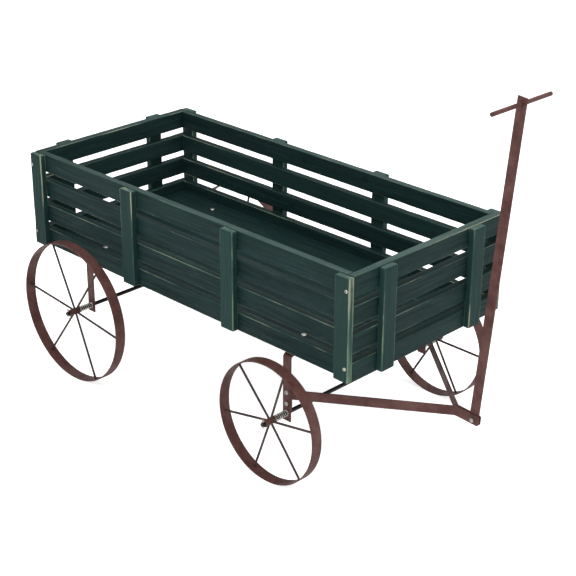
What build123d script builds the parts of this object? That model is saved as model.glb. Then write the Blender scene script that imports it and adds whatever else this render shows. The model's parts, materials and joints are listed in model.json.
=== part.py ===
from build123d import *
import os
from math import atan2, cos, degrees, radians, sin, tan

# Four-wheeled slatted wooden wagon: an open box of painted slats, a fixed rear axle,
# a front axle that steers about a kingpin, and a tow handle hinged to the front yoke.
# Frame: +X forward (towards the handle), +Y left, +Z up, origin in the middle of the
# floor's upper face.  Millimetres throughout.

# ---- box -------------------------------------------------------------------------
box_length = 1100.0
box_width = 500.0
rows = ("bottom", "lower", "upper", "top")
slat_heights = (45.5, 45.5, 45.5, 47.5)
slat_gap = 21.6
slat_thickness = 18.0
end_slat_thickness = 20.0
slat_ease = 1.5
batten_width = 42.0
batten_thickness = 17.0
batten_inset = 1.0
batten_ease = 2.5
middle_batten_x = 175.0
corner_nail_inset = 12.0
corner_screw_inset = 7.5
end_batten_y = 152.0
floor_thickness = 18.0
board_count = 5
board_gap = 0.4
tongue_depth = 5.0
tongue_height = 5.0
tongue_clearance = 0.25
board_bevel = 1.0
end_clearance = 0.5

# ---- running gear ----------------------------------------------------------------
flat_width = 24.0
flat_thickness = 3.0
bend_radius = 7.0
leg_outer_y = 241.5
rear_axle_x = -362.0
front_axle_x = 345.0
ground_z = -329.0
rear_wheel_radius = 185.0
front_wheel_radius = 150.0
rear_leg_below_axle = 18.0
front_leg_below_axle = 20.0
front_frame_top_z = -29.4
rim_width = 29.0
rim_thickness = 3.0
rim_inner_y = 283.0
spoke_count = 6
spoke_radius = 2.75
spoke_hub_y = 294.0
axle_radius = 5.0
axle_half_length = 321.5
axle_end_chamfer = 1.0
running_clearance = 0.08
rim_ease = 0.6
hub_radius = 8.0
hub_inset = 0.5
hub_length = 28.0
thrust_washer_thickness = 1.6
washer_gap = 0.1
end_washer_radius = 8.6
cotter_radius = 1.5
cotter_y = 317.0
cotter_reach = 7.5
cotter_eye_radius = 3.0
cotter_eye_wire = 0.9
cotter_eye_overlap = 0.4
cotter_leg_radius = 0.8
cotter_leg_length = 8.0
cotter_leg_splay = 35
spring_radius = 6.9
spring_wire_radius = 1.1
spring_end_gap = 0.2
spring_turns = 8

# ---- turntable and yoke ----------------------------------------------------------
bolster_half_length = 205.0
bolster_corner_radius = 4.0
disc_radius = 42.0
disc_thickness = 3.5
glide_thickness = 1.3
glide_radius = 32.0
kingpin_radius = 5.0
kingpin_tip = 3.0
kingpin_pocket_clearance = 0.5
kingpin_washer_radius = 11.0
kingpin_washer_thickness = 2.0
turntable_gap = 0.05
tab_height = 60.0
yoke_bolt_z = (-126.0, -155.0)
arm_start = (352.0, -130.5)
fork_bend_x = 645.0
fork_end_x = 711.0
fork_half_gap = 1.8
arm_bend_radius = 12.0
arm_end_radius = 5.0

# ---- handle ----------------------------------------------------------------------
handle_pivot = (695.5, -150.0)
handle_lean = 5.0
handle_length = 767.0
handle_tail = 10.0
handle_thickness = 3.0
grip_from_pivot = 752.0
handle_foot_radius = 8.0
grip_radius = 4.8
grip_length = 200.0
grip_chamfer = 1.2

# ---- fasteners -------------------------------------------------------------------
m6_radius = 3.0
m6_flats = 10.0
m6_nut_height = 5.0
m10_flats = 16.0
m10_nut_height = 8.0
bolt_tip = 2.0
nail_radius = 1.3
nail_length = 32.0
nail_point = 3.0
nail_head_radius = 2.8
nail_head_height = 1.2
screw_radius = 2.1
screw_length = 62.0
screw_heights = (17.3, 200.8)
carriage_y = 187.0

# Bolt heads: radius, height, dome radius and cross-recess length, 0 where there is no recess.
screw_head = (4.4, 2.6, 2.0, 4.6)
pan_head = (5.6, 3.2, 2.4, 5.6)
carriage_head = (7.5, 3.4, 3.0, 0)
kingpin_head = (11.0, 5.0, 4.2, 0)
through = 40.0

# ---- worked out from the above ---------------------------------------------------
half_length = box_length / 2
half_width = box_width / 2
inner_x = half_length - end_slat_thickness
inner_y = half_width - slat_thickness
bottom_z = -floor_thickness
box_height = sum(slat_heights) + (len(rows) - 1) * slat_gap
batten_height = box_height - 2 * batten_inset
batten_z = bottom_z + box_height / 2
side_batten_x = (
    -half_length + batten_width / 2,
    -middle_batten_x,
    middle_batten_x,
    half_length - batten_width / 2,
)
corner_nail_x = inner_x - corner_nail_inset
side_nail_x = (-corner_nail_x, -middle_batten_x, middle_batten_x, corner_nail_x)
screw_x = half_length - corner_screw_inset
batten_face_y = half_width + batten_thickness
rear_axle_z = ground_z + rear_wheel_radius
front_axle_z = ground_z + front_wheel_radius
leg_inner_y = leg_outer_y - flat_thickness
tab_inner_y = leg_inner_y - flat_thickness
rim_mid_y = rim_inner_y + rim_width / 2
hub_inner_y = rim_inner_y + hub_inset
hub_outer_y = hub_inner_y + hub_length
thrust_outer_y = hub_inner_y - washer_gap
thrust_inner_y = thrust_outer_y - thrust_washer_thickness
board_pitch = 2 * inner_y / board_count
floor_nail_z = -floor_thickness / 2
floor_nail_y = [(k - (board_count - 1) / 2) * board_pitch for k in range(board_count)]
front_frame_bottom_z = front_frame_top_z - flat_thickness
bolster_z = bottom_z - flat_thickness
left_right = (("left", 1), ("right", -1))


def save(piece, name):
    piece.part.label = name
    export_step(piece.part, f"parts/{name}.step")


def row_z(row):
    """Height of the middle of a slat row; row 0 is the bottom one."""
    return bottom_z + sum(slat_heights[:row]) + row * slat_gap + slat_heights[row] / 2


def facing(point, direction):
    """A location whose local +Z points along direction."""
    return Plane(origin=point, z_dir=direction).location


def outermost_faces(piece, axis, sign):
    """The flat faces furthest along the axis, or furthest against it if sign is negative."""
    return piece.faces().filter_by(axis).group_by(axis)[-1 if sign > 0 else 0]


# ---- fastener patterns -----------------------------------------------------------
def make_nail():
    """A nail with its flat head's outer face at z = 0 and its shank down -Z."""
    with BuildPart() as nail:
        with BuildSketch(Plane.XZ):
            with BuildLine():
                Polyline(
                    (0, 0),
                    (nail_head_radius, 0),
                    (nail_head_radius, -nail_head_height),
                    (nail_radius, -nail_head_height),
                    (nail_radius, -nail_length + nail_point),
                    (0, -nail_length),
                    close=True,
                )
            make_face()
        revolve(axis=Axis.Z)
    return nail.part


def make_bolt(radius, length, head):
    """A round-headed bolt: head on +Z, shank down -Z."""
    head_radius, head_height, dome, recess = head
    with BuildPart() as bolt:
        Cylinder(radius, length, align=(Align.CENTER, Align.CENTER, Align.MAX))
        chamfer(bolt.faces().sort_by(Axis.Z)[0].edges(), radius * 0.2)
        Cylinder(head_radius, head_height, align=(Align.CENTER, Align.CENTER, Align.MIN))
        fillet(bolt.faces().sort_by(Axis.Z)[-1].edges(), dome)
        if recess:
            with Locations((0, 0, head_height)):
                Box(recess, recess / 4, head_height, mode=Mode.SUBTRACT)
                Box(recess / 4, recess, head_height, mode=Mode.SUBTRACT)
    return bolt.part


def make_nut(flats, height, bore):
    """A hexagon nut standing on z = 0."""
    with BuildPart() as nut:
        with BuildSketch():
            RegularPolygon(flats / 2, 6, major_radius=False)
            Circle(bore, mode=Mode.SUBTRACT)
        extrude(amount=height)
        with BuildSketch() as crown:
            Circle(flats * 0.56)
        extrude(amount=height, mode=Mode.INTERSECT)
    return nut.part


def place(shape, *locations):
    """Copies of one shape at each location, held as separate solids."""
    with BuildPart() as group:
        for location in locations:
            add(shape.moved(location))
    return group


# ---- slats -----------------------------------------------------------------------
def side_slat(side, row):
    """One long board, fitted between the two ends."""
    z = row_z(row)
    nails = [facing((x, side * inner_y, z), (0, -side, 0)) for x in side_nail_x]
    with BuildPart() as slat:
        with Locations((0, side * (half_width - slat_thickness / 2), z)):
            Box(2 * inner_x, slat_thickness, slat_heights[row])
        fillet(slat.edges().filter_by(Axis.X), slat_ease)
        with Locations(*nails):
            CounterBoreHole(nail_radius, nail_head_radius, nail_head_height)
    return slat


def end_slats(end):
    """Four boards across the full width, over the ends of the side slats."""
    screw_hole_length = 2 * (screw_length - batten_thickness)
    nail_points = [(y, row_z(row)) for y in (-end_batten_y, end_batten_y) for row in range(len(rows))]
    inside = [facing((end * inner_x, y, z), (-end, 0, 0)) for y, z in nail_points]
    outside = [facing((end * half_length, y, floor_nail_z), (end, 0, 0)) for y in floor_nail_y]
    slat_x = end * (half_length - end_slat_thickness / 2)
    screw_x_end = end * screw_x
    with BuildPart() as slats:
        for row in range(len(rows)):
            with Locations((slat_x, 0, row_z(row))):
                Box(end_slat_thickness, box_width, slat_heights[row])
        fillet(slats.edges().filter_by(Axis.Y), slat_ease)
        with Locations(*inside, *outside):
            CounterBoreHole(nail_radius, nail_head_radius, nail_head_height, end_slat_thickness)
        for side in (1, -1):
            with Locations(*[(screw_x_end, side * half_width, z) for z in screw_heights]):
                Cylinder(screw_radius, screw_hole_length, rotation=(90, 0, 0), mode=Mode.SUBTRACT)
    return slats


def side_battens(side):
    y = side * (half_width + batten_thickness / 2)
    nails = [
        facing((x, side * half_width, row_z(row)), (0, -side, 0))
        for x in side_nail_x
        for row in range(len(rows))
    ]
    nail_depth = nail_length - slat_thickness
    with BuildPart() as battens:
        with Locations(*[(x, y, batten_z) for x in side_batten_x]):
            Box(batten_width, batten_thickness, batten_height)
        fillet(outermost_faces(battens, Axis.Y, side).edges(), batten_ease)
        with Locations(*nails):
            Hole(nail_radius, nail_depth)
        with Locations(*[(x, y, z) for x in (-screw_x, screw_x) for z in screw_heights]):
            Cylinder(screw_radius, 2 * batten_thickness, rotation=(90, 0, 0), mode=Mode.SUBTRACT)
    return battens


def end_battens(end):
    x = end * (half_length + batten_thickness / 2)
    nails = [
        facing((end * half_length, y, row_z(row)), (-end, 0, 0))
        for y in (-end_batten_y, end_batten_y)
        for row in range(len(rows))
    ]
    with BuildPart() as battens:
        with Locations((x, -end_batten_y, batten_z), (x, end_batten_y, batten_z)):
            Box(batten_thickness, batten_width, batten_height)
        fillet(outermost_faces(battens, Axis.X, end).edges(), batten_ease)
        with Locations(*nails):
            Hole(nail_radius, nail_length - end_slat_thickness)
    return battens


# ---- floor -----------------------------------------------------------------------
def floor_boards():
    """Tongued and grooved boards laid lengthwise, with a pocket below for the kingpin's head."""
    pocket_radius = kingpin_head[0] + kingpin_pocket_clearance
    pocket_depth = kingpin_head[1] + kingpin_pocket_clearance
    length = 2 * (inner_x - end_clearance)
    width = board_pitch - board_gap
    groove = tongue_depth + tongue_clearance
    with BuildPart() as boards:
        with Locations(*[(0, y, floor_nail_z) for y in floor_nail_y]):
            Box(length, width, floor_thickness)
        top_edges = boards.faces().filter_by(Axis.Z).group_by(Axis.Z)[-1].edges()
        chamfer(top_edges.filter_by(Axis.X), board_bevel)
        for y in floor_nail_y[1:]:
            with Locations((0, y - width / 2 + groove / 2, floor_nail_z)):
                Box(length, groove, tongue_height + 2 * tongue_clearance, mode=Mode.SUBTRACT)
        for y in floor_nail_y[:-1]:
            with Locations((0, y + width / 2, floor_nail_z)):
                Box(length, 2 * tongue_depth, tongue_height)
        for x in (rear_axle_x, front_axle_x):
            with Locations((x, carriage_y, 0), (x, -carriage_y, 0)):
                Cylinder(m6_radius, 3 * floor_thickness, mode=Mode.SUBTRACT)
        with Locations((front_axle_x, 0, bottom_z)):
            Cylinder(pocket_radius, 2 * pocket_depth, mode=Mode.SUBTRACT)
        for end in (1, -1):
            board_ends = [facing((end * length / 2, y, floor_nail_z), (end, 0, 0)) for y in floor_nail_y]
            with Locations(*board_ends):
                Hole(nail_radius, nail_length - end_slat_thickness)
    return boards


# ---- flat-bar frames -------------------------------------------------------------
def u_frame(x, top_z, axle_z, tip_z, top_holes, top_hole_radius):
    """Flat bar bent into an inverted U, with a hole in each leg for the axle."""
    mid_y = leg_outer_y - flat_thickness / 2
    mid_z = top_z - flat_thickness / 2
    with BuildPart() as frame:
        with BuildLine(Plane.YZ.offset(x)) as path:
            FilletPolyline(
                (mid_y, tip_z), (mid_y, mid_z), (-mid_y, mid_z), (-mid_y, tip_z), radius=bend_radius
            )
        with BuildSketch(Plane(path.line @ 0, x_dir=(1, 0, 0), z_dir=path.line % 0)):
            Rectangle(flat_width, flat_thickness)
        sweep(path=path.line)
        with Locations((x, 0, axle_z)):
            Cylinder(axle_radius, 3 * leg_outer_y, rotation=(90, 0, 0), mode=Mode.SUBTRACT)
        with Locations(*[(x, y, mid_z) for y in top_holes]):
            Cylinder(top_hole_radius, 3 * flat_thickness, mode=Mode.SUBTRACT)
    return frame


def rear_frame_part():
    tip_z = rear_axle_z - rear_leg_below_axle
    return u_frame(rear_axle_x, bottom_z, rear_axle_z, tip_z, (-carriage_y, carriage_y), m6_radius)


def front_frame_part():
    """The steering frame, with the lower disc of the turntable on its crossbar."""
    tip_z = front_axle_z - front_leg_below_axle
    base = u_frame(
        front_axle_x, front_frame_top_z, front_axle_z, tip_z, (0,), kingpin_radius + running_clearance
    )
    with BuildPart() as frame:
        add(base.part)
        with BuildSketch(Plane.XY.offset(front_frame_top_z)):
            with Locations((front_axle_x, 0)):
                Circle(disc_radius)
                Circle(kingpin_radius + running_clearance, mode=Mode.SUBTRACT)
        extrude(amount=disc_thickness)
        for side in (1, -1):
            with Locations(*[(front_axle_x, side * leg_outer_y, z) for z in yoke_bolt_z]):
                Cylinder(m6_radius, 4 * flat_thickness, rotation=(90, 0, 0), mode=Mode.SUBTRACT)
    return frame


def bolster_part():
    """The fixed bar under the floor, with the upper disc of the turntable."""
    with BuildPart() as bolster:
        with BuildSketch(Plane.XY.offset(bottom_z)):
            with Locations((front_axle_x, 0)):
                Rectangle(flat_width, 2 * bolster_half_length)
        extrude(amount=-flat_thickness)
        fillet(bolster.edges().filter_by(Axis.Z), bolster_corner_radius)
        with BuildSketch(Plane.XY.offset(bolster_z)):
            with Locations((front_axle_x, 0)):
                Circle(disc_radius)
        extrude(amount=-disc_thickness)
        with Locations((front_axle_x, 0, bolster_z)):
            Cylinder(kingpin_radius, through, mode=Mode.SUBTRACT)
        with Locations(*[(front_axle_x, y, bolster_z) for y in (-carriage_y, carriage_y)]):
            Cylinder(m6_radius, through, mode=Mode.SUBTRACT)
    return bolster


# ---- axles, wheels and their washers ----------------------------------------------
def ring(x, z, y_inner, y_outer, side, outer_radius, inner_radius):
    """A washer or tube about the wheel axis, between two distances from the middle."""
    with BuildPart() as piece:
        with BuildSketch(Plane((x, side * y_inner, z), z_dir=(0, side, 0))):
            Circle(outer_radius)
            Circle(inner_radius, mode=Mode.SUBTRACT)
        extrude(amount=y_outer - y_inner)
    return piece


def axle_part(x, z):
    with BuildPart() as axle:
        with Locations((x, 0, z)):
            Cylinder(axle_radius, 2 * axle_half_length, rotation=(90, 0, 0))
        chamfer(axle.edges(), axle_end_chamfer)
        with Locations((x, cotter_y, z), (x, -cotter_y, z)):
            Cylinder(cotter_radius, 6 * axle_radius, mode=Mode.SUBTRACT)
    return axle


def wheel_rim(x, z, side, radius):
    with BuildPart() as rim:
        with BuildSketch(Plane((x, side * rim_inner_y, z), z_dir=(0, side, 0))):
            Circle(radius)
            Circle(radius - rim_thickness, mode=Mode.SUBTRACT)
        extrude(amount=rim_width)
        fillet(rim.edges(), rim_ease)
    return rim


def wheel_spokes(x, z, side, radius, phase):
    """Six round rods, running slightly outward from the hub to the middle of the rim."""
    reach = radius - rim_thickness
    dish = degrees(atan2(rim_mid_y - spoke_hub_y, reach))
    hub_plane = Plane((x, side * spoke_hub_y, z), z_dir=(0, side, 0))
    with BuildPart() as spokes:
        for number in range(spoke_count):
            angle = phase + 360 / spoke_count * number
            direction = (cos(radians(angle)), side * tan(radians(dish)), sin(radians(angle)))
            with BuildSketch(Plane(hub_plane.origin, z_dir=direction)):
                Circle(spoke_radius)
            extrude(amount=reach + 2 * spoke_radius)
        with Locations(hub_plane.location):
            Cylinder(hub_radius, 4 * rim_width, mode=Mode.SUBTRACT)
            Cylinder(reach, 4 * rim_width, mode=Mode.INTERSECT)
    return spokes


def spring_part(x, z, side):
    """A plain coil between the leg and the thrust washer."""
    start_y = leg_outer_y + spring_wire_radius + spring_end_gap
    end_y = thrust_inner_y - spring_wire_radius - spring_end_gap
    height = end_y - start_y
    pitch = height / spring_turns
    with BuildPart() as spring:
        with BuildLine() as path:
            Helix(pitch, height, spring_radius, center=(x, side * start_y, z), direction=(0, side, 0))
        with BuildSketch(Plane(path.line @ 0, z_dir=path.line % 0)):
            Circle(spring_wire_radius)
        sweep(path=path.line, is_frenet=True)
    return spring


def make_cotter():
    """A split pin along Z: an eye on top, a split shank, and its tips bent apart."""
    eye_z = cotter_reach + cotter_eye_radius - cotter_eye_overlap
    with BuildPart() as cotter:
        Cylinder(cotter_radius, 2 * cotter_reach)
        with Locations(Plane((0, 0, eye_z), z_dir=(0, 1, 0)).location):
            Torus(cotter_eye_radius, cotter_eye_wire)
        for splay in (cotter_leg_splay, -cotter_leg_splay):
            with Locations(Location((0, 0, 1 - cotter_reach), (0, splay, 0))):
                Cylinder(
                    cotter_leg_radius, cotter_leg_length, align=(Align.CENTER, Align.CENTER, Align.MAX)
                )
    return cotter.part


# ---- yoke and handle -------------------------------------------------------------
def arm_drop_angle():
    return degrees(atan2(arm_start[1] - handle_pivot[1], handle_pivot[0] - arm_start[0]))


def yoke_arm(side):
    """Flat bar on edge from the leg's tab inward to the fork, falling slightly forward."""
    drop = radians(arm_drop_angle())
    tilted = Plane(
        (arm_start[0], 0, arm_start[1]),
        x_dir=(cos(drop), 0, -sin(drop)),
        z_dir=(sin(drop), 0, cos(drop)),
    )
    fork_y = side * (fork_half_gap + flat_thickness / 2)
    bend_x = (fork_bend_x - arm_start[0]) / cos(drop)
    end_x = (fork_end_x - arm_start[0]) / cos(drop)
    start_y = side * (tab_inner_y + flat_thickness / 2)
    tab_z = sum(yoke_bolt_z) / 2
    with BuildPart() as arm:
        with BuildLine(tilted) as path:
            FilletPolyline((0, start_y), (bend_x, fork_y), (end_x, fork_y), radius=arm_bend_radius)
        with BuildSketch(Plane(path.line @ 0, x_dir=tilted.z_dir, z_dir=path.line % 0)):
            Rectangle(flat_width, flat_thickness)
        sweep(path=path.line)
        fillet(arm.faces().sort_by(Axis.X)[-1].edges().filter_by(Axis.Y), arm_end_radius)
        with Locations((front_axle_x, start_y, tab_z)):
            Box(flat_width, flat_thickness, tab_height)
        with Locations(*[(front_axle_x, start_y, z) for z in yoke_bolt_z]):
            Cylinder(m6_radius, 4 * flat_thickness, rotation=(90, 0, 0), mode=Mode.SUBTRACT)
        with Locations((handle_pivot[0], 0, handle_pivot[1])):
            Cylinder(m6_radius, through, rotation=(90, 0, 0), mode=Mode.SUBTRACT)
    return arm


def handle_plane():
    """Origin on the pivot, local X across the bar, local Y up the bar, local Z to the right."""
    lean = radians(handle_lean)
    return Plane((handle_pivot[0], 0, handle_pivot[1]), x_dir=(cos(lean), 0, -sin(lean)), z_dir=(0, -1, 0))


def handle_bar_part():
    with BuildPart() as bar:
        with BuildSketch(handle_plane()):
            with Locations((0, (handle_length - handle_tail) / 2)):
                Rectangle(flat_width, handle_length + handle_tail)
            with Locations((0, grip_from_pivot)):
                Circle(grip_radius, mode=Mode.SUBTRACT)
            Circle(m6_radius + running_clearance, mode=Mode.SUBTRACT)
        extrude(amount=handle_thickness / 2, both=True)
        low_corners = bar.edges().filter_by(Axis.Y).sort_by(Axis.Z)[:2]
        fillet(low_corners, handle_foot_radius)
    return bar


def handle_grip_part():
    with BuildPart() as grip:
        with BuildSketch(handle_plane()):
            with Locations((0, grip_from_pivot)):
                Circle(grip_radius)
        extrude(amount=grip_length / 2, both=True)
        chamfer(grip.edges(), grip_chamfer)
    return grip


# ---- write the box ---------------------------------------------------------------
os.makedirs("parts", exist_ok=True)
for side_name, side in left_right:
    for row, row_name in enumerate(rows):
        save(side_slat(side, row), f"{side_name}_slat_{row_name}")
    save(side_battens(side), f"{side_name}_side_battens")
for end_name, end in (("front", 1), ("rear", -1)):
    save(end_slats(end), f"{end_name}_end_slats")
    save(end_battens(end), f"{end_name}_end_battens")
save(floor_boards(), "floor_boards")

nail_places = []
for row in range(len(rows)):
    for side in (1, -1):
        nail_places += [facing((x, side * inner_y, row_z(row)), (0, -side, 0)) for x in side_nail_x]
    for end in (1, -1):
        for y in (-end_batten_y, end_batten_y):
            nail_places.append(facing((end * inner_x, y, row_z(row)), (-end, 0, 0)))
for end in (1, -1):
    nail_places += [facing((end * half_length, y, floor_nail_z), (end, 0, 0)) for y in floor_nail_y]
save(place(make_nail(), *nail_places), "nails")

corner_screw = make_bolt(screw_radius, screw_length, screw_head)
screw_places = [
    facing((x, side * batten_face_y, z), (0, side, 0))
    for x in (-screw_x, screw_x)
    for side in (1, -1)
    for z in screw_heights
]
save(place(corner_screw, *screw_places), "corner_screws")

# ---- write the fixed gear ----------------------------------------------------------
save(rear_frame_part(), "rear_frame")
save(bolster_part(), "bolster")
carriage_length = floor_thickness + flat_thickness + m6_nut_height + bolt_tip / 2
carriage_bolt = make_bolt(m6_radius, carriage_length, carriage_head)
carriage_places = [(x, y, 0) for x in (rear_axle_x, front_axle_x) for y in (-carriage_y, carriage_y)]
save(place(carriage_bolt, *[Location(spot) for spot in carriage_places]), "carriage_bolts")
carriage_nut = make_nut(m6_flats, m6_nut_height, m6_radius)
nut_z = bolster_z - m6_nut_height
save(place(carriage_nut, *[Location((x, y, nut_z)) for x, y, z in carriage_places]), "carriage_nuts")

glide_z = bolster_z - disc_thickness - turntable_gap - glide_thickness
with BuildPart() as glide_washer:
    with BuildSketch(Plane.XY.offset(glide_z)):
        with Locations((front_axle_x, 0)):
            Circle(glide_radius)
            Circle(kingpin_radius + running_clearance, mode=Mode.SUBTRACT)
    extrude(amount=glide_thickness)
save(glide_washer, "glide_washer")

kingpin_washer_z = front_frame_bottom_z - washer_gap - kingpin_washer_thickness
kingpin_nut_z = kingpin_washer_z - m10_nut_height
kingpin = make_bolt(kingpin_radius, bottom_z - kingpin_nut_z + kingpin_tip, kingpin_head)
save(place(kingpin, Location((front_axle_x, 0, bottom_z))), "kingpin_bolt")
with BuildPart() as kingpin_nut:
    bare_nut = make_nut(m10_flats, m10_nut_height, kingpin_radius)
    add(bare_nut.moved(Location((front_axle_x, 0, kingpin_nut_z))))
    with BuildSketch(Plane.XY.offset(kingpin_washer_z)):
        with Locations((front_axle_x, 0)):
            Circle(kingpin_washer_radius)
            Circle(kingpin_radius, mode=Mode.SUBTRACT)
    extrude(amount=kingpin_washer_thickness)
save(kingpin_nut, "kingpin_nut")

# ---- write the axles and wheels ----------------------------------------------------
save(front_frame_part(), "front_frame")
axles = (
    ("front", front_axle_x, front_axle_z, front_wheel_radius),
    ("rear", rear_axle_x, rear_axle_z, rear_wheel_radius),
)
spoke_phase = {"front_left": -1, "front_right": 11, "rear_left": 20, "rear_right": 54}
cotter = make_cotter()
for axle_name, x, z, radius in axles:
    save(axle_part(x, z), f"{axle_name}_axle")
    end_washer = (hub_outer_y + washer_gap, hub_outer_y + washer_gap + thrust_washer_thickness)
    with BuildPart() as end_washers:
        for side_name, side in left_right:
            add(ring(x, z, *end_washer, side, end_washer_radius, axle_radius).part)
    save(end_washers, f"{axle_name}_end_washers")
    pins = [Location((x, side * cotter_y, z)) for side_name, side in left_right]
    save(place(cotter, *pins), f"{axle_name}_cotter_pins")
    for side_name, side in left_right:
        corner = f"{axle_name}_{side_name}"
        bore = axle_radius + running_clearance
        save(wheel_rim(x, z, side, radius), f"{corner}_rim")
        save(wheel_spokes(x, z, side, radius, spoke_phase[corner]), f"{corner}_spokes")
        save(ring(x, z, hub_inner_y, hub_outer_y, side, hub_radius, bore), f"{corner}_hub")
        thrust_washer = ring(x, z, thrust_inner_y, thrust_outer_y, side, end_washer_radius, bore)
        save(thrust_washer, f"{corner}_thrust_washer")
        save(spring_part(x, z, side), f"{corner}_spring")

# ---- write the yoke and handle -------------------------------------------------------
for side_name, side in left_right:
    save(yoke_arm(side), f"yoke_arm_{side_name}")
yoke_bolt = make_bolt(m6_radius, 2 * flat_thickness + m6_nut_height + bolt_tip, pan_head)
yoke_places = [(side, z) for side_name, side in left_right for z in yoke_bolt_z]
outside_leg = [facing((front_axle_x, s * leg_outer_y, z), (0, s, 0)) for s, z in yoke_places]
inside_tab = [facing((front_axle_x, s * tab_inner_y, z), (0, -s, 0)) for s, z in yoke_places]
save(place(yoke_bolt, *outside_leg), "yoke_bolts")
save(place(carriage_nut, *inside_tab), "yoke_nuts")
save(handle_bar_part(), "handle_bar")
save(handle_grip_part(), "handle_grip")
fork_outer_y = fork_half_gap + flat_thickness
pivot_bolt = make_bolt(m6_radius, 2 * fork_outer_y + m6_nut_height + bolt_tip, pan_head)
pivot_x, pivot_z = handle_pivot
save(place(pivot_bolt, facing((pivot_x, fork_outer_y, pivot_z), (0, 1, 0))), "handle_pivot_bolt")
save(place(carriage_nut, facing((pivot_x, -fork_outer_y, pivot_z), (0, -1, 0))), "handle_pivot_nut")
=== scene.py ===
import json
import math

import bmesh
import bpy
from mathutils import Matrix, Vector, noise


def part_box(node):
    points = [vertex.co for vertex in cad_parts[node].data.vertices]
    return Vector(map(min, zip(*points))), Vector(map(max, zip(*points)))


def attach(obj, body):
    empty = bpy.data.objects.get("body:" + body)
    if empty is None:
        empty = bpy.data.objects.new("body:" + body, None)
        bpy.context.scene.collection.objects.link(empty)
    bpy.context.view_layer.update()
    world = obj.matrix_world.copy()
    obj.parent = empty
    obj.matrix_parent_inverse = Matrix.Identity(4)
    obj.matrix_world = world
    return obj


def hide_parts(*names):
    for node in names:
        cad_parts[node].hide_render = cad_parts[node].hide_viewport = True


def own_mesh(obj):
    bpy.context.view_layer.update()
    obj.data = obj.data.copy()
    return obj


# Looks for the slatted wagon.  Metres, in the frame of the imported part: +X forward, +Y left,
# +Z up, origin in the middle of the box floor's upper face.  Boards, springs and the ground
# take their places and sizes from the frame.
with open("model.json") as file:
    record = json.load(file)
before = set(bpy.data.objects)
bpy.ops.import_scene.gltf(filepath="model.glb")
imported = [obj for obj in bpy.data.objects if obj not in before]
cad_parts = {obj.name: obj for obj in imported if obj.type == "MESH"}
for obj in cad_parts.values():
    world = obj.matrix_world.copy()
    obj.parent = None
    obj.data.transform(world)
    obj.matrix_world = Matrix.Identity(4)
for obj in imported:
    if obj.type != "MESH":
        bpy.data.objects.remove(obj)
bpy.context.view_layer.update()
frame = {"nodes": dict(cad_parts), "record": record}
MM = 0.001
SIDES = (("left", 1), ("right", -1))
CORNERS = [(axle, side, sign) for axle in ("front", "rear") for side, sign in SIDES]
ROWS = ("bottom", "lower", "upper", "top")


def carrier(axle):
    """The body that holds an axle: the front one steers, the rear one is part of the wagon."""
    return "front_gear" if axle == "front" else "wagon_box"


# ---- node helpers ----------------------------------------------------------------
# A mix node holds a set of sockets for each data type; these are the colour ones.
MIX_FACTOR_INPUT = 0
MIX_COLOUR_A_INPUT = 6
MIX_COLOUR_B_INPUT = 7
MIX_COLOUR_OUTPUT = 2


class Nodes:
    """A short way to build a material's node tree."""

    def __init__(self, name):
        self.material = bpy.data.materials.new(name)
        self.material.use_nodes = True
        self.tree = self.material.node_tree
        self.tree.nodes.clear()

    def add(self, kind, settings=None, **inputs):
        node = self.tree.nodes.new(kind)
        for key, value in (settings or {}).items():
            setattr(node, key, value)
        for key, value in inputs.items():
            self.put(node, key.replace("_", " "), value)
        return node

    def put(self, node, key, value):
        socket = node.inputs[key]
        if isinstance(value, bpy.types.NodeSocket):
            self.tree.links.new(value, socket)
        else:
            socket.default_value = value

    def math(self, operation, a, b):
        node = self.add("ShaderNodeMath", {"operation": operation})
        self.put(node, 0, a)
        self.put(node, 1, b)
        return node.outputs[0]

    def ramp(self, value, low, high, to_low=0.0, to_high=1.0):
        """A smooth step from to_low at low to to_high at high."""
        node = self.add(
            "ShaderNodeMapRange",
            {"interpolation_type": "SMOOTHSTEP"},
            Value=value,
            From_Min=low,
            From_Max=high,
            To_Min=to_low,
            To_Max=to_high,
        )
        return node.outputs["Result"]

    def mix(self, factor, a, b):
        node = self.add("ShaderNodeMix", {"data_type": "RGBA"})
        self.put(node, MIX_FACTOR_INPUT, factor)
        self.put(node, MIX_COLOUR_A_INPUT, a)
        self.put(node, MIX_COLOUR_B_INPUT, b)
        return node.outputs[MIX_COLOUR_OUTPUT]

    def stretched(self, vector, scale):
        return self.add("ShaderNodeMapping", Vector=vector, Scale=scale).outputs["Vector"]

    def noise(self, vector, scale, detail=3.0, roughness=0.55, distortion=0.0):
        node = self.add(
            "ShaderNodeTexNoise",
            Vector=vector,
            Scale=scale,
            Detail=detail,
            Roughness=roughness,
            Distortion=distortion,
        )
        return node.outputs["Fac"]

    def bump(self, height, strength, distance, normal=None):
        node = self.add("ShaderNodeBump", Height=height, Strength=strength, Distance=distance)
        if normal is not None:
            self.put(node, "Normal", normal)
        return node.outputs["Normal"]

    def attribute(self, name, output="Fac"):
        return self.add("ShaderNodeAttribute", {"attribute_name": name}).outputs[output]

    def position(self):
        return self.add("ShaderNodeTexCoord").outputs["Object"]

    def finish(self, **inputs):
        shader = self.add("ShaderNodeBsdfPrincipled", **inputs)
        output = self.add("ShaderNodeOutputMaterial")
        self.tree.links.new(shader.outputs[0], output.inputs["Surface"])
        return self.material


def rgb(red, green, blue):
    """An sRGB colour, 0 to 255, as the linear colour that the nodes use."""
    def linear(value):
        value = value / 255
        return value / 12.92 if value <= 0.04045 else ((value + 0.055) / 1.055) ** 2.4
    return (linear(red), linear(green), linear(blue), 1.0)


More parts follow.
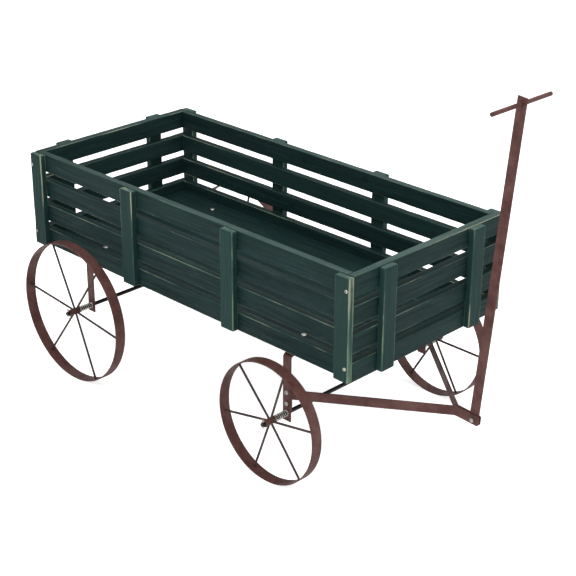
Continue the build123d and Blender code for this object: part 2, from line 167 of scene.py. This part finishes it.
# ---- materials -------------------------------------------------------------------
PAINT_DARK = rgb(11, 30, 29)
PAINT_LIGHT = rgb(26, 51, 50)
PAINT_STAIN = rgb(27, 40, 43)
PAINT_PALE_BOARD = rgb(40, 69, 64)
PAINT_OVER_KNOT = rgb(10, 18, 17)
PAINT_FADED = rgb(54, 80, 73)
# Painted highlight: the lighter colour laid on faces turned upward, as if lit from above.
PAINT_TOP_LIGHT = rgb(82, 102, 96)
PAINT_SCUFF = rgb(72, 92, 82)
PRIMER_GREEN = rgb(94, 118, 98)
PRIMER_CREAM = rgb(152, 152, 130)
STEEL_DUST = rgb(104, 78, 70)
STEEL_WORN = rgb(128, 94, 80)
RUB_THRESHOLD = 1.78  # closeness to an edge plus noise, above which paint is rubbed through


def painted_wood():
    """Dark green paint over pine, rubbed through on the edges, with knots under the paint."""
    n = Nodes("painted_wood")
    grain = n.attribute("grain", "Vector")
    edge = n.attribute("edge")
    tone = n.attribute("tone")
    bleach = n.attribute("bleach")
    knot = n.attribute("knot")
    surface = n.add("ShaderNodeNewGeometry").outputs["Normal"]
    upward = n.add("ShaderNodeSeparateXYZ", Vector=surface).outputs["Z"]

    bent = n.noise(n.stretched(grain, (3.0, 22.0, 22.0)), 1.0, 2.0)
    streaks = n.noise(n.stretched(grain, (6.0, 130.0, 130.0)), 1.0, 6.0, 0.68, 0.5)
    fibres = n.noise(n.stretched(grain, (24.0, 900.0, 900.0)), 1.0, 3.0, 0.6)
    patches = n.noise(n.stretched(grain, (5.0, 22.0, 22.0)), 1.0, 3.0, 0.6, 0.4)

    paint = n.mix(n.ramp(streaks, 0.28, 0.75), PAINT_DARK, PAINT_LIGHT)
    paint = n.mix(n.ramp(patches, 0.42, 0.72, 0.0, 0.5), paint, PAINT_STAIN)
    paint = n.mix(n.math("MULTIPLY", tone, 0.55), paint, PAINT_PALE_BOARD)
    paint = n.mix(n.ramp(knot, 0.1, 0.95, 0.0, 0.6), paint, PAINT_OVER_KNOT)

    chips = n.noise(n.stretched(grain, (20.0, 150.0, 150.0)), 1.0, 4.0, 0.7)
    stretches = n.noise(n.stretched(grain, (3.5, 8.0, 8.0)), 1.0, 2.0)
    amount = n.math("ADD", n.math("MULTIPLY", chips, 0.5), n.math("MULTIPLY", stretches, 1.15))
    reach = n.math("SUBTRACT", n.math("ADD", edge, amount), RUB_THRESHOLD)
    rubbed = n.ramp(reach, 0.0, 0.22)
    faded = n.ramp(reach, -0.42, 0.1, 0.0, 0.6)
    primer = n.mix(n.ramp(bent, 0.35, 0.65), PRIMER_GREEN, PRIMER_CREAM)
    colour = n.mix(faded, paint, PAINT_FADED)
    colour = n.mix(rubbed, colour, primer)
    # Painted top light: faces turned upward are lightened, as if lit from above, by the amount each
    # board carries.
    level = n.math("MULTIPLY", n.ramp(upward, 0.7, 0.97), bleach)
    level = n.math("MULTIPLY", level, n.ramp(patches, 0.35, 0.65, 0.65, 1.15))
    colour = n.mix(level, colour, PAINT_TOP_LIGHT)

    scuffs = n.noise(n.stretched(grain, (26.0, 420.0, 420.0)), 1.0, 2.0, 0.5)
    scuffed = n.ramp(n.math("ADD", scuffs, n.math("MULTIPLY", stretches, 0.3)), 0.84, 0.93, 0.0, 0.35)
    colour = n.mix(scuffed, colour, PAINT_SCUFF)

    height = n.math("ADD", n.math("MULTIPLY", streaks, 0.6), n.math("MULTIPLY", fibres, 0.4))
    height = n.math("SUBTRACT", height, n.math("MULTIPLY", rubbed, 0.12))
    normal = n.bump(height, 0.35, 0.0008)
    roughness = n.ramp(streaks, 0.3, 0.7, 0.66, 0.5)
    roughness = n.math("ADD", roughness, n.math("MULTIPLY", rubbed, 0.15))
    return n.finish(Base_Color=colour, Roughness=roughness, Normal=normal, Specular_IOR_Level=0.12)


def painted_steel(name, dark, light, rough, worn_edges):
    """Rust-brown paint on bar or rod, slightly mottled, with a fine orange-peel surface."""
    n = Nodes(name)
    place = n.position()
    mottle = n.noise(place, 26.0, 4.0, 0.6)
    fine = n.noise(place, 420.0, 3.0, 0.6)
    colour = n.mix(n.ramp(mottle, 0.3, 0.7), dark, light)
    dust = n.ramp(n.noise(place, 90.0, 4.0, 0.7), 0.58, 0.78, 0.0, 0.3)
    colour = n.mix(dust, colour, STEEL_DUST)
    bevel = n.add("ShaderNodeBevel", {"samples": 4}, Radius=0.0011)
    flat = n.add("ShaderNodeNewGeometry").outputs["Normal"]
    same = n.add("ShaderNodeVectorMath", {"operation": "DOT_PRODUCT"})
    n.put(same, 0, bevel.outputs[0])
    n.put(same, 1, flat)
    sharp = n.math("SUBTRACT", 1.0, same.outputs["Value"])
    worn = n.math("MULTIPLY", n.ramp(sharp, 0.01, 0.12), n.ramp(mottle, 0.45, 0.7, 0.0, worn_edges))
    colour = n.mix(worn, colour, STEEL_WORN)
    normal = n.bump(fine, 0.16, 0.0004, bevel.outputs[0])
    roughness = n.ramp(mottle, 0.3, 0.7, rough + 0.1, rough - 0.05)
    return n.finish(Base_Color=colour, Roughness=roughness, Normal=normal, Specular_IOR_Level=0.25)


def zinc(name, bright, dull):
    """Zinc plate: pale grey metal with dull cloudy patches."""
    n = Nodes(name)
    place = n.position()
    cloud = n.noise(place, 160.0, 4.0, 0.65)
    scratch = n.noise(n.stretched(place, (900.0, 240.0, 900.0)), 1.0, 2.0)
    colour = n.mix(n.ramp(cloud, 0.35, 0.7), bright, dull)
    roughness = n.ramp(cloud, 0.3, 0.7, 0.26, 0.45)
    normal = n.bump(scratch, 0.08, 0.0003)
    return n.finish(Base_Color=colour, Metallic=1.0, Roughness=roughness, Normal=normal)


def black_rod():
    """The axle: black finish with rubbed, slightly brighter patches."""
    n = Nodes("black_axle")
    place = n.position()
    rub = n.noise(n.stretched(place, (300.0, 12.0, 300.0)), 1.0, 4.0, 0.6)
    colour = n.mix(n.ramp(rub, 0.5, 0.8), rgb(22, 20, 20), rgb(52, 46, 43))
    normal = n.bump(rub, 0.1, 0.0003)
    roughness = n.ramp(rub, 0.4, 0.8, 0.42, 0.3)
    return n.finish(Base_Color=colour, Metallic=0.35, Roughness=roughness, Normal=normal)


def nylon():
    """The steering washer: off-white plastic, faintly clouded."""
    n = Nodes("nylon_washer")
    place = n.position()
    cloud = n.noise(place, 60.0, 3.0)
    colour = n.mix(cloud, rgb(196, 190, 176), rgb(222, 217, 204))
    normal = n.bump(n.noise(place, 700.0, 2.0), 0.1, 0.0002)
    return n.finish(Base_Color=colour, Roughness=0.55, Normal=normal, Subsurface_Weight=0.05)


SLOT_MATERIALS = {
    "painted_wood": painted_wood(),
    "rust_brown_steel": painted_steel(
        "rust_brown_steel", rgb(74, 44, 41), rgb(98, 66, 61), rough=0.5, worn_edges=0.5
    ),
    "spoke_steel": painted_steel(
        "spoke_steel", rgb(50, 39, 37), rgb(72, 57, 53), rough=0.48, worn_edges=0.25
    ),
    "black_axle": black_rod(),
    "zinc_fastener": zinc("zinc_fastener", rgb(206, 204, 198), rgb(142, 140, 134)),
    "painted_nail": painted_steel(
        "painted_nail", rgb(15, 31, 30), rgb(28, 48, 47), rough=0.55, worn_edges=0.0
    ),
    "spring_steel": zinc("spring_steel", rgb(226, 222, 216), rgb(160, 155, 148)),
    "nylon_washer": nylon(),
}


def dress(obj, slot):
    obj.data.materials.clear()
    obj.data.materials.append(SLOT_MATERIALS[slot])


NODE_SLOT = {row["node"]: row["material_slot"] for row in frame["record"]["subparts"]}
for node, obj in frame["nodes"].items():
    dress(obj, NODE_SLOT[node])


def new_piece(name, bm, slot, body, node):
    """A mesh piece that stands for a CAD node and rides on a body."""
    mesh = bpy.data.meshes.new(name)
    bm.normal_update()
    bm.to_mesh(mesh)
    bm.free()
    for polygon in mesh.polygons:
        polygon.use_smooth = True
    obj = bpy.data.objects.new(name, mesh)
    bpy.context.scene.collection.objects.link(obj)
    dress(obj, slot)
    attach(obj, body)
    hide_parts(node)
    return obj


# ---- planks ----------------------------------------------------------------------
STATION = 7 * MM  # along a board, between rings of points
FLAT_STEP = 4 * MM  # round a board, between points on its flats
ARC_STEPS = 4
EDGE_MARGIN = 1.4 * MM
ARC_END_CLOSENESS = 0.86
FLAT_REACH = 5 * MM  # how far wear reaches in from an edge
END_REACH = 4 * MM
END_CLOSENESS = 0.9
CLOSENESS_POWER = 1.5
CHIP_DEPTH = 1.1 * MM
WAVE_DEPTH = 0.12 * MM
TONE_SPREAD = 0.3
KNOT_STRETCH = 1.6
GRAIN_SWIRL = 0.006
# Front faces of the front corner boards: rubbed paint, and in part painted light on the faces turned
# forward.
LIT_RUBBED_FACE, LIT_RUBBED_EDGE = 0.97, 0.2
# Painted top light on upward faces: its level in the middle of the box and its rise toward the front.
TOP_LIGHT_MIDDLE, TOP_LIGHT_FORWARD = 0.75, 0.35

box_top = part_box("left_slat_top")[1].z
box_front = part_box("front_end_slats")[1].x


def solid_boxes(node):
    """The box of each separate solid in a node, lowest corner and highest corner."""
    bm = bmesh.new()
    bm.from_mesh(frame["nodes"][node].data)
    bmesh.ops.remove_doubles(bm, verts=bm.verts, dist=0.01 * MM)
    unseen = set(bm.verts)
    boxes = []
    while unseen:
        front = [unseen.pop()]
        island = []
        while front:
            vertex = front.pop()
            island.append(vertex.co.copy())
            for link in vertex.link_edges:
                other = link.other_vert(vertex)
                if other in unseen:
                    unseen.discard(other)
                    front.append(other)
        low = Vector([min(co[k] for co in island) for k in range(3)])
        high = Vector([max(co[k] for co in island) for k in range(3)])
        boxes.append((low, high))
    bm.free()
    return sorted(boxes, key=lambda pair: tuple(round(v, 5) for v in pair[0]))


def section(width, depth, round_radius):
    """Points round a rounded rectangle with their outward direction and closeness to an edge."""
    points = []
    half_u, half_v = width / 2, depth / 2
    half = ((half_u, half_v), (-half_u, half_v), (-half_u, -half_v), (half_u, -half_v))
    for corner, (cu, cv) in enumerate(half):
        centre_u = cu - math.copysign(round_radius, cu)
        centre_v = cv - math.copysign(round_radius, cv)
        start = corner * 90
        for step in range(ARC_STEPS + 1):
            angle = math.radians(start + 90 * step / ARC_STEPS)
            out = (math.cos(angle), math.sin(angle))
            near = 1.0 if 0 < step < ARC_STEPS else ARC_END_CLOSENESS
            u = centre_u + round_radius * out[0]
            v = centre_v + round_radius * out[1]
            points.append((u, v, out, near))
        next_u, next_v = half[(corner + 1) % 4]
        end_u = next_u - math.copysign(round_radius, next_u) if corner % 2 == 0 else cu
        end_v = cv if corner % 2 == 0 else next_v - math.copysign(round_radius, next_v)
        here = points[-1]
        span = math.hypot(end_u - here[0], end_v - here[1])
        count = max(2, round(span / FLAT_STEP))
        margin = min(EDGE_MARGIN / span, 0.3)
        marks = sorted({margin, *[k / count for k in range(1, count)], 1 - margin})
        out = ((0.0, 1.0), (-1.0, 0.0), (0.0, -1.0), (1.0, 0.0))[corner]
        for mark in marks:
            reach = min(mark, 1 - mark) * span
            near = ARC_END_CLOSENESS * max(0.0, 1 - reach / FLAT_REACH) ** CLOSENESS_POWER
            u = here[0] + (end_u - here[0]) * mark
            v = here[1] + (end_v - here[1]) * mark
            points.append((u, v, out, near))
    return points


def knot_darkness(knots, place, across):
    """How dark the nearest knot makes a place: 1 in its middle, 0 at its rim and beyond."""
    dark = 0.0
    for knot_place, knot_across, knot_size in knots:
        gap = math.hypot((place - knot_place) / KNOT_STRETCH, across - knot_across)
        dark = max(dark, 1 - gap / knot_size)
    return dark


def plank(bm, layers, low, high, number, use, knots):
    """Adds one board to a mesh: eased, hand-worn edges, and a slight waviness along it."""
    ease, wear = use["ease"], use["wear"]
    size = high - low
    along = max(range(3), key=lambda k: size[k])
    u_axis, v_axis = [(along + 1) % 3, (along + 2) % 3]
    centre = (low + high) / 2
    length = size[along]
    ring_points = section(size[u_axis], size[v_axis], ease)
    count = max(4, round((length - 2 * ease) / STATION))
    stations = [
        (-length / 2 + ease * (1 - math.cos(a)), ease * (1 - math.sin(a)))
        for a in (math.radians(d) for d in (0, 30, 60, 90))
    ]
    stations += [(-length / 2 + ease + (length - 2 * ease) * k / count, 0.0) for k in range(1, count)]
    stations += [(-x, inset) for x, inset in reversed(stations[:4])]
    seed = Vector((number * 7.31, number * 3.17, number * 5.71))
    tone = use["tone"] + TONE_SPREAD * noise.cell(seed)
    forward = {u_axis: 0, v_axis: 1}.get(0)
    rubbed = use["rubbed_front"] and forward is not None and abs(high.x - box_front) < MM
    rings = []
    for place, inset in stations:
        to_end = length / 2 - abs(place)
        end_near = END_CLOSENESS * max(0.0, 1 - to_end / END_REACH) ** CLOSENESS_POWER
        ring = []
        for u, v, out, near in ring_points:
            worn = max(0.0, noise.noise(Vector((place * 22, u * 60, v * 60)) + seed) - 0.12)
            worn += 0.5 * max(0.0, noise.noise(Vector((place * 90, u * 140, v * 140)) + seed) - 0.1)
            chip = CHIP_DEPTH * wear * worn * max(near, end_near)
            wave = WAVE_DEPTH * (noise.noise(Vector((place * 6, u * 12, v * 12)) - seed) - 0.5)
            hold = inset + chip - min(wave, 0.0)
            co = Vector((0, 0, 0))
            co[along] = centre[along] + place
            co[u_axis] = centre[u_axis] + u - out[0] * hold
            co[v_axis] = centre[v_axis] + v - out[1] * hold
            vertex = bm.verts.new(co)
            dark = knot_darkness(knots, place, u if size[u_axis] > size[v_axis] else v)
            swirl = GRAIN_SWIRL * (dark + 0.6)
            vertex[layers["grain"]] = Vector((place, u + swirl, v)) + seed
            # Partly painted light: faces turned forward on the front corner boards are set to show
            # paler, rubbed paint.
            rub = LIT_RUBBED_FACE + LIT_RUBBED_EDGE * near if rubbed and out[forward] > 0.7 else 0.0
            vertex[layers["edge"]] = max(near * use["handling"], end_near, rub)
            vertex[layers["knot"]] = dark
            vertex[layers["tone"]] = tone
            # Painted light: boards toward the front of the box get more of the painted top light.
            top_light_share = TOP_LIGHT_MIDDLE + TOP_LIGHT_FORWARD * co.x / box_front
            vertex[layers["bleach"]] = use["bleach"] * top_light_share
            ring.append(vertex)
        rings.append(ring)
    for a, b in zip(rings, rings[1:]):
        for k in range(len(a)):
            m = (k + 1) % len(a)
            bm.faces.new((a[k], a[m], b[m], b[k]))
    bm.faces.new(list(reversed(rings[0])))
    bm.faces.new(rings[-1])


def board_piece(name, node, body, number, use_of, knots=None, trim=None):
    """One piece for a CAD node of boards; use_of and trim take a board's lowest and highest corner."""
    bm = bmesh.new()
    layers = {
        "grain": bm.verts.layers.float_vector.new("grain"),
        "edge": bm.verts.layers.float.new("edge"),
        "knot": bm.verts.layers.float.new("knot"),
        "tone": bm.verts.layers.float.new("tone"),
        "bleach": bm.verts.layers.float.new("bleach"),
    }
    for index, (low, high) in enumerate(solid_boxes(node)):
        if trim is not None:
            low, high = trim(low, high)
        plank(bm, layers, low, high, number + index, use_of(low, high), (knots or {}).get(index, ()))
    bmesh.ops.recalc_face_normals(bm, faces=bm.faces)
    return new_piece(name, bm, "painted_wood", body, node)


# For each board that shows knots: place along it, place across it, radius.
KNOTS = {
    "left_slat_top": [(-0.06, 0.0, 11 * MM), (0.15, 0.004, 12 * MM)],
    "left_slat_lower": [(-0.105, 0.0, 10 * MM)],
    "right_slat_upper": [(0.29, 0.005, 8 * MM)],
    "left_slat_upper": [(0.37, -0.004, 7 * MM)],
}


def slat_use(_low, high):
    """The top boards get the most painted top light on their upper faces."""
    bleach = 0.5 if high.z > box_top - MM else 0.12
    return {
        "ease": 1.5 * MM,
        "wear": 1.0,
        "tone": 0.05,
        "bleach": bleach,
        "handling": 1.0,
        "rubbed_front": False,
    }


def batten_use(_low, _high):
    """Battens are lighter than slats; the front corner ones have pale front faces, part rubbed paint,
    part painted light.
    """
    return {
        "ease": 2.5 * MM,
        "wear": 1.3,
        "tone": 0.9,
        "bleach": 0.45,
        "handling": 1.02,
        "rubbed_front": True,
    }


def floor_use(_low, _high):
    """Floor boards are sheltered, so they get no painted top light and are not much handled."""
    return {
        "ease": 1.2 * MM,
        "wear": 0.6,
        "tone": 0.0,
        "bleach": 0.0,
        "handling": 0.9,
        "rubbed_front": False,
    }


number = 1
for side, _ in SIDES:
    for row in ROWS:
        node = f"{side}_slat_{row}"
        board_piece(f"{node}_board", node, "wagon_box", number, slat_use, {0: KNOTS.get(node, ())})
        number += 1
    board_piece(f"{side}_side_batten_boards", f"{side}_side_battens", "wagon_box", number, batten_use)
    number += 4
for end in ("front", "rear"):
    board_piece(f"{end}_end_slat_boards", f"{end}_end_slats", "wagon_box", number, slat_use)
    board_piece(f"{end}_end_batten_boards", f"{end}_end_battens", "wagon_box", number + 4, batten_use)
    number += 6


FLOOR_BOARDS = 5
FLOOR_SEAM = 0.4 * MM


def without_tongue(low, high):
    """A floor board seen from above: the tongue at one edge lies under its neighbour."""
    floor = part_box("floor_boards")
    pitch = (floor[1].y - floor[0].y) / FLOOR_BOARDS
    index = min(FLOOR_BOARDS - 1, max(0, round((low.y - floor[0].y) / pitch)))
    right = floor[0].y + index * pitch + FLOOR_SEAM
    left = floor[0].y + (index + 1) * pitch - FLOOR_SEAM
    return Vector((low.x, right, low.z)), Vector((high.x, left, high.z))


board_piece("floor_planks", "floor_boards", "wagon_box", number, floor_use, trim=without_tongue)


# ---- springs ---------------------------------------------------------------------
WIRE = 0.95 * MM  # radius
ACTIVE_TURNS = 6.0
END_TURNS = 1.0
END_PITCH = 2.15  # wire radii along the axle in one closed turn
WIRE_SIDES = 10
TURN_STEPS = 32
TIP_TAPER = 0.35


def coil(bm, centre, axis_sign, start, end, radius):
    """A compression spring about Y with closed end coils."""
    total = ACTIVE_TURNS + 2 * END_TURNS
    count = int(total * TURN_STEPS)
    span = end - start
    closed = END_PITCH * WIRE * END_TURNS
    rings = []
    for k in range(count + 1):
        turn = total * k / count
        if turn < END_TURNS:
            rise = closed * turn / END_TURNS
        elif turn > total - END_TURNS:
            rise = span - closed * (total - turn) / END_TURNS
        else:
            rise = closed + (span - 2 * closed) * (turn - END_TURNS) / ACTIVE_TURNS
        angle = 2 * math.pi * turn
        out = Vector((math.cos(angle), 0, math.sin(angle)))
        middle = Vector((centre.x, axis_sign * (start + rise), centre.z)) + out * radius
        along = Vector((0, axis_sign, 0))
        taper = TIP_TAPER if k in (0, count) else 1.0
        ring = []
        for s in range(WIRE_SIDES):
            turn_angle = 2 * math.pi * s / WIRE_SIDES
            offset = out * math.cos(turn_angle) + along * math.sin(turn_angle)
            ring.append(bm.verts.new(middle + offset * WIRE * taper))
        rings.append(ring)
    for a, b in zip(rings, rings[1:]):
        for s in range(WIRE_SIDES):
            t = (s + 1) % WIRE_SIDES
            bm.faces.new((a[s], a[t], b[t], b[s]))
    bm.faces.new(list(reversed(rings[0])))
    bm.faces.new(rings[-1])


for axle, side, sign in CORNERS:
    low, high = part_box(f"{axle}_{side}_spring")
    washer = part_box(f"{axle}_{side}_thrust_washer")
    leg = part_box(f"{axle}_frame")
    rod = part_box(f"{axle}_axle")
    centre = Vector(((rod[0].x + rod[1].x) / 2, 0, (rod[0].z + rod[1].z) / 2))
    leg_face = abs(leg[1].y)
    seat = min(abs(washer[0].y), abs(washer[1].y))
    bm = bmesh.new()
    coil(bm, centre, sign, leg_face + WIRE, seat - WIRE, (high.x - low.x) / 2 - WIRE)
    bmesh.ops.recalc_face_normals(bm, faces=bm.faces)
    spring = new_piece(
        f"{axle}_{side}_coil_spring", bm, "spring_steel", carrier(axle), f"{axle}_{side}_spring"
    )
    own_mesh(spring)


# ---- camera, light and floor --------------------------------------------------------
CAMERA_PLACE = Vector((2.4228, -2.3630, 1.5073))
CAMERA_AZIMUTH, CAMERA_ELEVATION, CAMERA_ROLL = 44.376, 24.790, 0.392
LIGHTS = {
    "key": {"azimuth": 20, "elevation": 48, "distance": 3.4, "size": 2.2, "power": 52},
    "fill": {"azimuth": 100, "elevation": 30, "distance": 3.8, "size": 2.6, "power": 24},
    "top": {"azimuth": 200, "elevation": 78, "distance": 3.2, "size": 2.6, "power": 44},
}
DOME_STRENGTH = 0.62
GROUND_HALF_WIDTH = 30.0
GROUND_CLEARANCE = 0.2 * MM


def toward(azimuth, elevation):
    """The direction of a viewer from the origin; azimuth 0 is a viewer on -Y, who looks along +Y."""
    a, e = math.radians(azimuth), math.radians(elevation)
    return Vector((math.sin(a) * math.cos(e), -math.cos(a) * math.cos(e), math.sin(e)))


def look(obj, place, azimuth, elevation, roll=0.0):
    """Places obj so that it looks back along its own azimuth and elevation."""
    back = toward(azimuth, elevation)
    turn = (-back).to_track_quat("-Z", "Y").to_matrix() @ Matrix.Rotation(math.radians(roll), 3, "Z")
    obj.matrix_world = Matrix.Translation(place) @ turn.to_4x4()


camera_data = bpy.data.cameras.new("camera")
camera_data.lens = 92.92
camera_data.sensor_width = 36.0
camera = bpy.data.objects.new("camera", camera_data)
bpy.context.scene.collection.objects.link(camera)
look(camera, CAMERA_PLACE, CAMERA_AZIMUTH, CAMERA_ELEVATION, CAMERA_ROLL)
bpy.context.scene.camera = camera


def area_light(name, azimuth, elevation, distance, size, power):
    data = bpy.data.lights.new(name, "AREA")
    data.shape = "DISK"
    data.size = size
    data.energy = power
    light = bpy.data.objects.new(name, data)
    bpy.context.scene.collection.objects.link(light)
    look(light, toward(azimuth, elevation) * distance, azimuth, elevation)


for light_name, light_settings in LIGHTS.items():
    area_light(light_name, **light_settings)


def seen_white(name, dome):
    """A world that lights the object softly and shows the camera plain white."""
    world = bpy.data.worlds.new(name)
    world.use_nodes = True
    tree = world.node_tree
    background = tree.nodes["Background"]
    background.inputs["Color"].default_value = (1.0, 1.0, 1.0, 1.0)
    path = tree.nodes.new("ShaderNodeLightPath")
    choose = tree.nodes.new("ShaderNodeMapRange")
    choose.inputs["To Min"].default_value = dome
    choose.inputs["To Max"].default_value = 1.0
    tree.links.new(path.outputs["Is Camera Ray"], choose.inputs["Value"])
    tree.links.new(choose.outputs["Result"], background.inputs["Strength"])
    return world


bpy.context.scene.world = seen_white("studio", DOME_STRENGTH)
bpy.context.scene.view_settings.view_transform = "Standard"

ground_z = min(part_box(f"{axle}_{side}_rim")[0].z for axle, side, _ in CORNERS)
floor_nodes = Nodes("studio_floor")
floor_cloud = floor_nodes.noise(floor_nodes.position(), 3.0, 3.0)
floor_colour = floor_nodes.mix(floor_cloud, (0.86, 0.86, 0.86, 1.0), (0.9, 0.9, 0.9, 1.0))
floor_seen = floor_nodes.add("ShaderNodeLightPath").outputs["Is Camera Ray"]
floor_material = floor_nodes.finish(
    Base_Color=floor_colour,
    Roughness=0.8,
    Specular_IOR_Level=0.0,
    Emission_Color=(1.0, 1.0, 1.0, 1.0),
    Emission_Strength=floor_nodes.ramp(floor_seen, 0.0, 1.0, 0.2, 0.72),
)
bm = bmesh.new()
bmesh.ops.create_grid(bm, x_segments=1, y_segments=1, size=GROUND_HALF_WIDTH)
floor_mesh = bpy.data.meshes.new("studio_floor")
bm.to_mesh(floor_mesh)
bm.free()
floor_mesh.materials.append(floor_material)
studio_floor = bpy.data.objects.new("studio_floor", floor_mesh)
bpy.context.scene.collection.objects.link(studio_floor)
studio_floor.location.z = ground_z - GROUND_CLEARANCE

bpy.context.view_layer.update()
